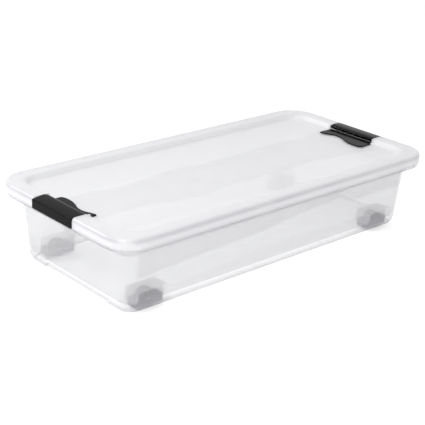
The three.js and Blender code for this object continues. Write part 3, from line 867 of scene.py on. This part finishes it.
def make_tub(sizes, material):
    """The tub: its section, the soft bands of its long walls, wheel wells, notches and arches."""
    mesh = shell("tub_shell", tub_rings(sizes), sizes, material)
    points = mesh_points(mesh)
    upper, lower = wall_bands(points)
    on_wall = smooth(np.abs(points[:, 1]), SIDE_START, SIDE_FULL)
    on_wall *= points[:, 2] < COLLAR_BOTTOM + 2
    on_wall *= smooth(points[:, 2], FOOT_Z + BAND_START, FOOT_Z + BAND_FULL)
    on_wall *= line_fade(points[:, 0])
    low_end = 1 - smooth(points[:, 2], COLLAR_BOTTOM - 3, COLLAR_BOTTOM + 1)
    depth = sizes.band_depth / MM * (upper * low_end + LOWER_BAND_DEPTH * lower)
    points[:, 1] += np.sign(points[:, 1]) * depth * on_wall
    place_points(mesh, points)
    wall = sizes.tub_wall / MM
    outer = HALF_LENGTH - FLANGE_INSET
    collar = HALF_LENGTH - COLLAR_INSET
    centre, half, _pivot = bay_places()
    notch = half + BAY_WALL + NOTCH_GAP
    notch_floor = RIM_TOP - sizes.recess / MM - sizes.lid_wall / MM - SEAT_GAP
    arch_in = HALF_LENGTH - FOOT_INSET - 2 * FOOT_RIM_WIDTH - FOOT_RIM_LEAN
    added, cut = bmesh.new(), bmesh.new()
    for name in WHEEL_NAMES:
        low, high = box_mm(f"wheel_carrier_{name}")
        sign = 1 if high[1] > 0 else -1
        low[:2] -= CARRIER_GAP
        high[:2] += CARRIER_GAP
        high[2] += SEAT_GAP
        house_low = [low[0] - wall, low[1] - wall, FLOOR_UNDER + wall / 2]
        house_high = [high[0] + wall, high[1] + wall, high[2] + wall]
        to_wall = HALF_WIDTH - LOW_INSET - wall / 2
        if sign > 0:
            house_high[1] = to_wall
        else:
            house_low[1] = -to_wall
        block(added, house_low, house_high, edge=1.2)
        block(cut, (low[0], low[1], FOOT_Z - 4), tuple(high), edge=1.0, steps=2)
    for end in ENDS:
        low, high = centre - notch, centre + notch
        ledge = (
            (collar - wall / 2, low - wall, notch_floor - wall),
            (outer - wall / 2, high + wall, FLANGE_TOP - wall / 2),
        )
        block(added, *turned(*ledge, end), edge=0.3, steps=2)
        gap = (collar - wall - 2 * MOUTH_ROUND, low, notch_floor), (outer + PAST, high, RIM_TOP)
        block(cut, *turned(*gap, end), edge=0.5, steps=2)
        arch = (arch_in, -ARCH_HALF, -2), (outer, ARCH_HALF, FLOOR_UNDER - 0.5)
        block(cut, *turned(*arch, end), edge=1.5)
    mesh = joined_and_cut(mesh, added, cut)
    points = mesh_points(mesh)
    write_tone_and_shade(mesh, tub_tone_and_shade(points))
    return mesh


def tub_tone_and_shade(points):
    """Tone of the tub: the plain wall, clearer in the wheel wells, with painted shade along the lip
    edge, collar step, collar, foot and base curve, and darker wall bands.
    """
    z = points[:, 2]
    inset = outline_inset(points)
    # Painted shade: darker, less clear lines along the lip edge, collar step, foot and base curve, and
    # over the collar under the lid's rim.
    lip = pulse(z, FLANGE_BOTTOM, EDGE_SHADE_HALF) * (inset < 8)
    step = STEP_SHARE * pulse(z, COLLAR_BOTTOM + 1, 4)
    foot = FOOT_SHARE * pulse(z, FOOT_Z, 3)
    curve = CURVE_SHARE * pulse(z, FOOT_Z + 9, 12) * (inset < FOOT_INSET + 2)
    upper, lower = wall_bands(points)
    band = UPPER_BAND_SHARE * upper * line_fade(points[:, 0])
    band += LOWER_BAND_SHARE * lower * (z > FOOT_Z + 20)
    band *= (np.abs(points[:, 1]) > SIDE_START) & (inset > COLLAR_INSET + 3)
    collar = COLLAR_SHARE * smooth(z, COLLAR_BOTTOM, COLLAR_BOTTOM + 4)
    collar *= inset > COLLAR_INSET - 1
    side = HALF_WIDTH - np.abs(points[:, 1])
    well = (inset > LOW_INSET + WELL_SKIN) & (z > FLOOR_UNDER + WELL_SKIN) & (z < WELL_TOP)
    well &= (side < LOW_INSET + WELL_REACH) & (np.abs(points[:, 0]) < WELL_FAR)
    plain = np.where(well & (np.abs(points[:, 0]) > WELL_NEAR), 0.0, WALL_SHARE)
    marks = np.maximum.reduce([lip, step, foot, curve, band * (z < COLLAR_BOTTOM), collar])
    return np.maximum(plain, WALL_SHARE + (1 - WALL_SHARE) * marks * (plain > 0))


def softened_copy(node, width, steps=3, limit=30):
    """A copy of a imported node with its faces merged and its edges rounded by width."""
    work = bmesh.new()
    work.from_mesh(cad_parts[node].data)
    bmesh.ops.remove_doubles(work, verts=work.verts, dist=0.01 * MM)
    flat = math.radians(1)
    bmesh.ops.dissolve_limit(work, angle_limit=flat, verts=work.verts, edges=work.edges)
    mesh = bpy.data.meshes.new(node)
    work.to_mesh(mesh)
    work.free()
    holder = new_object(node + "_holder", mesh)
    bevel = holder.modifiers.new("Edges", "BEVEL")
    bevel.width = width * MM
    bevel.segments = steps
    bevel.limit_method = "ANGLE"
    bevel.angle_limit = math.radians(limit)
    bevel.use_clamp_overlap = True
    shading = holder.modifiers.new("Flat faces", "WEIGHTED_NORMAL")
    shading.weight = 80
    mesh.shade_smooth()
    return evaluated_mesh(holder)


def turned_profile(profile, sides):
    """A closed profile of (radius, along Y) points, in millimetres, turned about the Y axis."""
    work = bmesh.new()
    steps = [2 * math.pi * i / sides for i in range(sides)]
    rings = []
    for radius, y in profile:
        places = [(radius * math.cos(a), y, radius * math.sin(a)) for a in steps]
        rings.append([work.verts.new(place) for place in places])
    for first, second in zip(rings, rings[1:] + rings[:1]):
        for i in range(sides):
            j = (i + 1) % sides
            work.faces.new((first[i], first[j], second[j], second[i]))
    bmesh.ops.remove_doubles(work, verts=work.verts, dist=1e-4)
    mesh = scaled_mesh("turned", work)
    face_outwards(mesh)
    return mesh


def rib_tree():
    """Geometry Nodes: joins a ring of radial ribs to a roller whose axis lies along Y."""
    tree = bpy.data.node_groups.new("Roller with ribs", "GeometryNodeTree")
    face = tree.interface
    face.new_socket("Roller", in_out="INPUT", socket_type="NodeSocketGeometry")
    face.new_socket("Ribs", in_out="INPUT", socket_type="NodeSocketInt")
    for name in ("Rib middle radius", "Rib length", "Rib width", "Rib thickness"):
        face.new_socket(name, in_out="INPUT", socket_type="NodeSocketFloat")
    face.new_socket("Material", in_out="INPUT", socket_type="NodeSocketMaterial")
    face.new_socket("Ribbed roller", in_out="OUTPUT", socket_type="NodeSocketGeometry")
    given = add_node(tree, "NodeGroupInput").outputs

    ribs, middle = given["Ribs"], given["Rib middle radius"]
    points = add_node(tree, "GeometryNodeMeshLine", {"Count": ribs})
    index = add_node(tree, "GeometryNodeInputIndex")
    share = add_node(tree, MATH, {0: index, 1: ribs}, operation="DIVIDE")
    angle = add_node(tree, MATH, {0: share, 1: 2 * math.pi}, operation="MULTIPLY")
    axes = []
    for wave in ("COSINE", "SINE"):
        turned_by = add_node(tree, MATH, {0: angle}, operation=wave)
        axes.append(add_node(tree, MATH, {0: turned_by, 1: middle}, operation="MULTIPLY"))
    place = add_node(tree, "ShaderNodeCombineXYZ", {"X": axes[0], "Z": axes[1]})
    spread = add_node(tree, "GeometryNodeSetPosition", {"Geometry": points, "Position": place})
    sizes = {"X": given["Rib length"], "Y": given["Rib width"], "Z": given["Rib thickness"]}
    size = add_node(tree, "ShaderNodeCombineXYZ", sizes)
    rib = add_node(tree, "GeometryNodeMeshCube", {"Size": size})
    back = add_node(tree, MATH, {0: angle, 1: -1.0}, operation="MULTIPLY")
    turn = add_node(tree, "ShaderNodeCombineXYZ", {"Y": back})
    copies = {"Points": spread, "Instance": rib, "Rotation": turn}
    ring = add_node(tree, "GeometryNodeInstanceOnPoints", copies)
    loose = add_node(tree, "GeometryNodeRealizeInstances", {0: ring})
    union = add_node(
        tree, "GeometryNodeMeshBoolean", {"Mesh 2": given["Roller"]}, operation="UNION", solver="EXACT"
    )
    set_inputs(tree, union, {"Mesh 2": loose})
    real = add_node(tree, "GeometryNodeRealizeInstances", {0: union})
    dress = {"Geometry": real, "Material": given["Material"]}
    add_node(tree, "NodeGroupOutput", {0: add_node(tree, "GeometryNodeSetMaterial", dress)})
    return tree


def make_roller(sizes, tree, material, node):
    """One roller: a hub, a web, a tread with rounded edges, and ribs between hub and tread."""
    low, high = box_mm(node)
    middle = (low + high) / 2
    half = float(high[1] - low[1]) / 2
    radius = float(high[2] - low[2]) / 2
    tread = radius - TREAD_WALL
    corner = [
        (radius - TREAD_ROUND * (1 - math.cos(a)), half - TREAD_ROUND * (1 - math.sin(a)))
        for a in (0, math.pi / 6, math.pi / 3, math.pi / 2)
    ]
    left = [(BORE_R, -half), (HUB_R, -half), (HUB_R, -WEB_HALF), (tread, -WEB_HALF), (tread, -half)]
    right = [(r, -y) for r, y in reversed(left)]
    profile = left + [(r, -y) for r, y in reversed(corner)] + corner + right
    values = {
        "Ribs": sizes.roller_ribs,
        "Rib middle radius": (HUB_R + tread) / 2 * MM,
        "Rib length": (tread - HUB_R + 1) * MM,
        "Rib width": (2 * half - 2) * MM,
        "Rib thickness": RIB_THICKNESS * MM,
        "Material": material,
    }
    mesh = run_tree(tree, turned_profile(profile, ROLLER_SIDES), values)
    place_points(mesh, mesh_points(mesh) + middle)
    return mesh


def make_axle(node):
    """One axle pin with chamfered ends."""
    low, high = box_mm(node)
    middle = (low + high) / 2
    half = float(high[1] - low[1]) / 2
    end = [(0.0, half), (PIN_R - PIN_CHAMFER, half), (PIN_R, half - PIN_CHAMFER)]
    profile = [(r, -y) for r, y in end] + end[::-1]
    mesh = turned_profile(profile, PIN_SIDES)
    place_points(mesh, mesh_points(mesh) + middle)
    return mesh


# ---------- settings ----------


def length(name, description, default_mm):
    """A length property, in metres."""
    return FloatProperty(
        name=name, description=description, default=default_mm * MM, min=0.0001,
        precision=4, subtype="DISTANCE", unit="LENGTH",
    )


def colour(name, description, hex_colour):
    """A colour property."""
    return FloatVectorProperty(
        name=name, description=description, default=linear(hex_colour), size=3,
        min=0.0, max=1.0, subtype="COLOR",
    )


class BoxSizes(bpy.types.PropertyGroup):
    """Sizes of the box that a user would change."""

    lid_length: length("Lid length", "Length of the lid along X", 2 * HALF_LENGTH)
    lid_width: length("Lid width", "Width of the lid along Y", 2 * HALF_WIDTH)
    lid_wall: length("Lid wall", "Thickness of the lid's plastic", 2.2)
    recess: length("Recess", "How far the lid's panel lies below its rim", 11.0)
    tub_wall: length("Tub wall", "Thickness of the tub's plastic", 2.5)
    band_depth: length("Band depth", "Step of the soft bands in the lid and long walls", 1.2)
    edge_width: length("Clip edge rounding", "Rounding of the edges of clips and plates", 0.7)
    roller_ribs: IntProperty(name="Roller ribs", description="Ribs in a roller", default=8, min=3)
    long_steps: IntProperty(name="Long steps", description="Steps along a long side", default=150)
    short_steps: IntProperty(name="Short steps", description="Steps along an end", default=56)
    corner_steps: IntProperty(name="Corner steps", description="Steps round a corner", default=16)


class BoxColours(bpy.types.PropertyGroup):
    """Colours of the box's plastics and steel."""

    # The shaded colours carry the painted shade along edges, steps, shoulder and collar, and the
    # darker bands.
    clear: colour("Clear plastic", "Tub, where its wall is thin", "#CACACC")
    clear_shaded: colour("Clear plastic, dense", "Tub, painted shade along edges and darker bands", "#8E8E95")
    milky: colour("Milky plastic", "Lid, where its wall is thin", "#D7D7D9")
    milky_shaded: colour("Milky plastic, dense", "Lid, painted shade along edges and darker band", "#ABABB1")
    black: colour("Black plastic", "Clips and their plates", "#050506")
    grey: colour("Smoked plastic", "Roller carriers", "#3E404E")
    roller: colour("Roller plastic", "Rollers", "#2A2B33")
    steel: colour("Steel", "Axle pins", "#C8C8CC")
    floor: colour("Floor", "Studio floor", "#FFFFFF")


# Studio, in metres and watts: each light's name, place, diameter and power.
LIGHTS = (
    ("key_light", (-1.3, 1.9, 1.8), 0.26, 22.0),
    ("left_light", (-1.8, -0.6, 1.5), 1.3, 17.0),
)
AIM = (0.0, 0.0, 0.1)
ROOM_LIGHT = 0.95
FLOOR_REACH = 6000
FLOOR_TOP = -0.3
FLOOR_DEPTH = 20


# ---------- operators ----------


class MakeTub(bpy.types.Operator):
    """Make the clear tub"""

    bl_idname = "under_bed_box.tub"
    bl_label = "Make tub"
    bl_options = {"REGISTER", "UNDO"}

    def execute(self, context):
        colours = context.scene.under_bed_colours
        plastic = moulded_polypropylene(
            "Clear moulded polypropylene", colours.clear, colours.clear_shaded,
            thin_alpha=0.12, shaded_alpha=0.62, roughness=0.2,
        )
        mesh = make_tub(context.scene.under_bed_sizes, plastic)
        pass_light(finish_piece("tub_moulding", mesh, plastic, "tub", "clear_plastic", "tub"))
        return {"FINISHED"}


class MakeLid(bpy.types.Operator):
    """Make the milky lid"""

    bl_idname = "under_bed_box.lid"
    bl_label = "Make lid"
    bl_options = {"REGISTER", "UNDO"}

    def execute(self, context):
        colours = context.scene.under_bed_colours
        plastic = moulded_polypropylene(
            "Milky moulded polypropylene", colours.milky, colours.milky_shaded,
            thin_alpha=0.6, shaded_alpha=0.8, roughness=0.3,
        )
        mesh = make_lid(context.scene.under_bed_sizes, plastic)
        pass_light(finish_piece("lid_moulding", mesh, plastic, "lid", "milky_plastic", "lid"))
        return {"FINISHED"}


class MakeClips(bpy.types.Operator):
    """Make the two clips and the wavy plates beside them"""

    bl_idname = "under_bed_box.clips"
    bl_label = "Make clips"
    bl_options = {"REGISTER", "UNDO"}

    def execute(self, context):
        edge = context.scene.under_bed_sizes.edge_width / MM
        plastic = moulded_black("Black moulded ABS", context.scene.under_bed_colours.black)
        for end in ENDS:
            clip, plate = f"clip_{end}", f"clip_plate_{end}"
            mesh = softened_copy(clip, edge)
            finish_piece(f"clip_bar_{end}", mesh, plastic, clip, "black_plastic", clip, sharp=0)
            mesh = softened_copy(plate, edge)
            finish_piece(f"wavy_plate_{end}", mesh, plastic, "lid", "black_plastic", plate, sharp=0)
        return {"FINISHED"}


class MakeRollers(bpy.types.Operator):
    """Make the rollers, their carriers and their axle pins"""

    bl_idname = "under_bed_box.rollers"
    bl_label = "Make rollers"
    bl_options = {"REGISTER", "UNDO"}

    def execute(self, context):
        sizes, colours = context.scene.under_bed_sizes, context.scene.under_bed_colours
        nylon = moulded_satin("Dark moulded nylon", colours.roller, 0.8)
        smoked = moulded_smoked("Smoked moulded polypropylene", colours.grey)
        steel = drawn_steel("Drawn steel", colours.steel)
        tree = rib_tree()
        for name in WHEEL_NAMES:
            wheel, carrier, pin = f"wheel_{name}", f"wheel_carrier_{name}", f"axle_pin_{name}"
            mesh = make_roller(sizes, tree, nylon, wheel)
            finish_piece(f"roller_{name}", mesh, nylon, wheel, "roller_plastic", wheel)
            mesh = softened_copy(carrier, CARRIER_EDGE)
            finish_piece(f"carrier_{name}", mesh, smoked, "tub", "grey_plastic", carrier, sharp=0)
            finish_piece(f"pin_{name}", make_axle(pin), steel, "tub", "pin_steel", pin)
        return {"FINISHED"}


class MakeStage(bpy.types.Operator):
    """Make the floor, the lights and the camera"""

    bl_idname = "under_bed_box.stage"
    bl_label = "Make stage"
    bl_options = {"REGISTER", "UNDO"}

    def execute(self, context):
        make_floor(context.scene.under_bed_colours.floor)
        make_lights()
        make_camera()
        return {"FINISHED"}


def make_floor(floor_colour):
    """A wide, plain, pale floor just under the rollers."""
    work = bmesh.new()
    under = (-FLOOR_REACH, -FLOOR_REACH, FLOOR_TOP - FLOOR_DEPTH)
    block(work, under, (FLOOR_REACH, FLOOR_REACH, FLOOR_TOP))
    mesh = scaled_mesh("floor", work)
    material, tree, shader, _coords = new_material("White studio paper")
    paper = {"Base Color": (*floor_colour, 1.0), "Roughness": 0.9, "Specular IOR Level": 0.1}
    set_inputs(tree, shader, paper)
    mesh.materials.append(material)
    new_object("floor", mesh)


def make_lights():
    """A white room, a small light high behind the left end and a wider one at the front left.

    The clear walls lie many deep behind each other, so more of them are let through than usual.
    """
    world = bpy.data.worlds.new("White room")
    world.use_nodes = True
    back = world.node_tree.nodes["Background"]
    back.inputs["Color"].default_value = (*linear("#FFFFFF"), 1.0)
    back.inputs["Strength"].default_value = ROOM_LIGHT
    bpy.context.scene.world = world
    bpy.context.scene.view_settings.view_transform = "Standard"
    bpy.context.scene.cycles.transparent_max_bounces = 40
    for name, place, size, power in LIGHTS:
        lamp = bpy.data.lights.new(name, "AREA")
        lamp.shape = "DISK"
        lamp.size = size
        lamp.energy = power
        made = bpy.data.objects.new(name, lamp)
        bpy.context.scene.collection.objects.link(made)
        made.location = place
        towards = Vector(AIM) - Vector(place)
        made.rotation_euler = towards.to_track_quat("-Z", "Y").to_euler()


def make_camera():
    """A long lens from the front left, a little above the box and rolled slightly."""
    azimuth, elevation, roll = math.radians(-43.0), math.radians(21.2), math.radians(2.5)
    target = Vector((0.0, 0.0, 0.09))
    distance = 2.2004
    back = Vector((
        math.sin(azimuth) * math.cos(elevation),
        -math.cos(azimuth) * math.cos(elevation),
        math.sin(elevation),
    ))
    right = Vector((math.cos(azimuth), math.sin(azimuth), 0.0))
    up = back.cross(right)
    tilted_right = right * math.cos(roll) + up * math.sin(roll)
    tilted_up = up * math.cos(roll) - right * math.sin(roll)
    turn = Matrix((tilted_right, tilted_up, back)).transposed().to_4x4()
    data = bpy.data.cameras.new("camera")
    data.sensor_width = 36.0
    data.lens = 94.35
    data.shift_x = -0.0242
    data.shift_y = -0.0355
    data.clip_end = 50.0
    camera = bpy.data.objects.new("camera", data)
    bpy.context.scene.collection.objects.link(camera)
    camera.matrix_world = Matrix.Translation(target + back * distance) @ turn
    bpy.context.scene.camera = camera


class BoxPanel(bpy.types.Panel):
    """Lists the steps that make the box"""

    bl_idname = "VIEW3D_PT_under_bed_box"
    bl_label = "Under bed box"
    bl_space_type = "VIEW_3D"
    bl_region_type = "UI"
    bl_category = "Box"

    def draw(self, context):
        layout = self.layout
        for group in (context.scene.under_bed_sizes, context.scene.under_bed_colours):
            column = layout.column()
            for name in group.__annotations__:
                column.prop(group, name)
        for step in STEPS:
            layout.operator(step.bl_idname)


STEPS = (MakeStage, MakeTub, MakeLid, MakeClips, MakeRollers)
CLASSES = (BoxSizes, BoxColours, *STEPS, BoxPanel)


def register():
    """Registers the classes and hangs the settings on the scene."""
    for item in CLASSES:
        bpy.utils.register_class(item)
    bpy.types.Scene.under_bed_sizes = PointerProperty(type=BoxSizes)
    bpy.types.Scene.under_bed_colours = PointerProperty(type=BoxColours)


def unregister():
    """Takes everything away again."""
    del bpy.types.Scene.under_bed_sizes
    del bpy.types.Scene.under_bed_colours
    for item in reversed(CLASSES):
        bpy.utils.unregister_class(item)


def plain(box):
    """A box's two corners as plain lists of numbers."""
    return [[float(v) for v in corner] for corner in box]


def main():
    """Makes every piece."""
    register()
    for step in STEPS:
        group, name = step.bl_idname.split(".")
        getattr(getattr(bpy.ops, group), name)()


if __name__ == "__main__":
    main()
